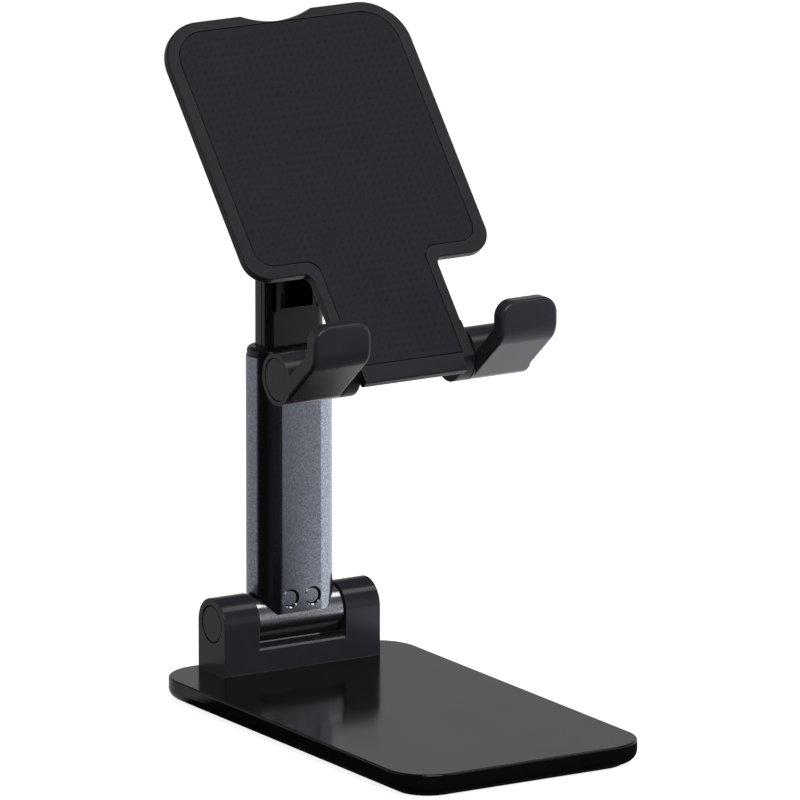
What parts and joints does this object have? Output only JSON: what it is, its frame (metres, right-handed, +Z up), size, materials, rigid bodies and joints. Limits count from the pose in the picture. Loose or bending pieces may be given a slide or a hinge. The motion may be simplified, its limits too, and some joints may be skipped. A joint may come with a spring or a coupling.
{
  "type": "folding phone stand",
  "caption": "Desk stand for a phone: weighted base, folding and height-adjustable arm, leaning plate with silicone face, and two folding hooks.",
  "frame": {"origin": "middle of the base's underside, where it meets the desk", "axes": "+Z up, the user at -Y, +X to the user's right"},
  "size_m": [0.07, 0.124, 0.1708],
  "materials": {
    "gloss_black": "polished black moulding",
    "satin_black": "fine satin texture",
    "matte_black": "matte moulded",
    "silicone": "fine woven texture",
    "arm_aluminium": "dark anodised, bead blasted",
    "dark_aluminium": "dark anodised",
    "weight_steel": "rolled plate",
    "steel": "turned",
    "nylon": "plain"
  },
  "bodies": {
    "base": {"base_cover": "gloss_black", "base_tray": "matte_black", "counterweight": "weight_steel", "anti_slip_pad": "silicone", "tray_screws": "steel", "hinge_bracket": "dark_aluminium", "bracket_screws": "steel", "hinge_axle": "steel", "axle_cap_left": "matte_black", "axle_cap_right": "matte_black"},
    "arm": {"arm_foot": "dark_aluminium", "arm_tube": "arm_aluminium", "arm_rivets": "dark_aluminium", "foot_washers": "nylon", "tube_collar": "matte_black", "friction_leaf": "steel"},
    "inner_arm": {"inner_arm": "matte_black", "slide_shoe": "nylon", "lower_link_pin": "steel"},
    "link": {"head_link": "matte_black", "link_washers": "nylon"},
    "plate": {"plate_shell": "satin_black", "silicone_pad": "silicone", "head_knuckle": "matte_black", "knuckle_screws": "steel", "upper_link_pin": "steel", "hook_pin_left": "steel", "hook_pin_right": "steel", "hook_washer_left": "nylon", "hook_washer_right": "nylon"},
    "hook_left": {"hook_left": "satin_black", "hook_cap_left": "matte_black"},
    "hook_right": {"hook_right": "satin_black", "hook_cap_right": "matte_black"}
  },
  "joints": [
    {"name": "arm_fold", "type": "hinge", "parent": "base", "child": "arm", "pos_m": [0, 0.0533, 0.01856], "axis": [1, 0, 0], "range_deg": [0, 90]},
    {"name": "height_slide", "type": "slide", "parent": "arm", "child": "inner_arm", "axis": [0, 0, 1], "range_m": [-0.0094, 0.02]},
    {"name": "link_swing", "type": "hinge", "parent": "inner_arm", "child": "link", "pos_m": [0, 0.0533, 0.1232], "axis": [1, 0, 0], "range_deg": [0, 97.69]},
    {"name": "plate_tilt", "type": "hinge", "parent": "link", "child": "plate", "pos_m": [0, 0.03352, 0.12617], "axis": [1, 0, 0], "range_deg": [-57.53, 0]},
    {"name": "hook_left_fold", "type": "hinge", "parent": "plate", "child": "hook_left", "pos_m": [0, 0.00156, 0.09308], "axis": [1, 0, 0], "range_deg": [-90.01, 0]},
    {"name": "hook_right_fold", "type": "hinge", "parent": "plate", "child": "hook_right", "pos_m": [0, 0.00156, 0.09308], "axis": [1, 0, 0], "range_deg": [-90.01, 0]}
  ],
  "couplings": [
    {"joint": "link_swing", "follows": "arm_fold", "ratio": 1.0853},
    {"joint": "plate_tilt", "follows": "arm_fold", "ratio": -0.63917},
    {"joint": "hook_left_fold", "follows": "arm_fold", "ratio": -1},
    {"joint": "hook_right_fold", "follows": "arm_fold", "ratio": -1}
  ]
}
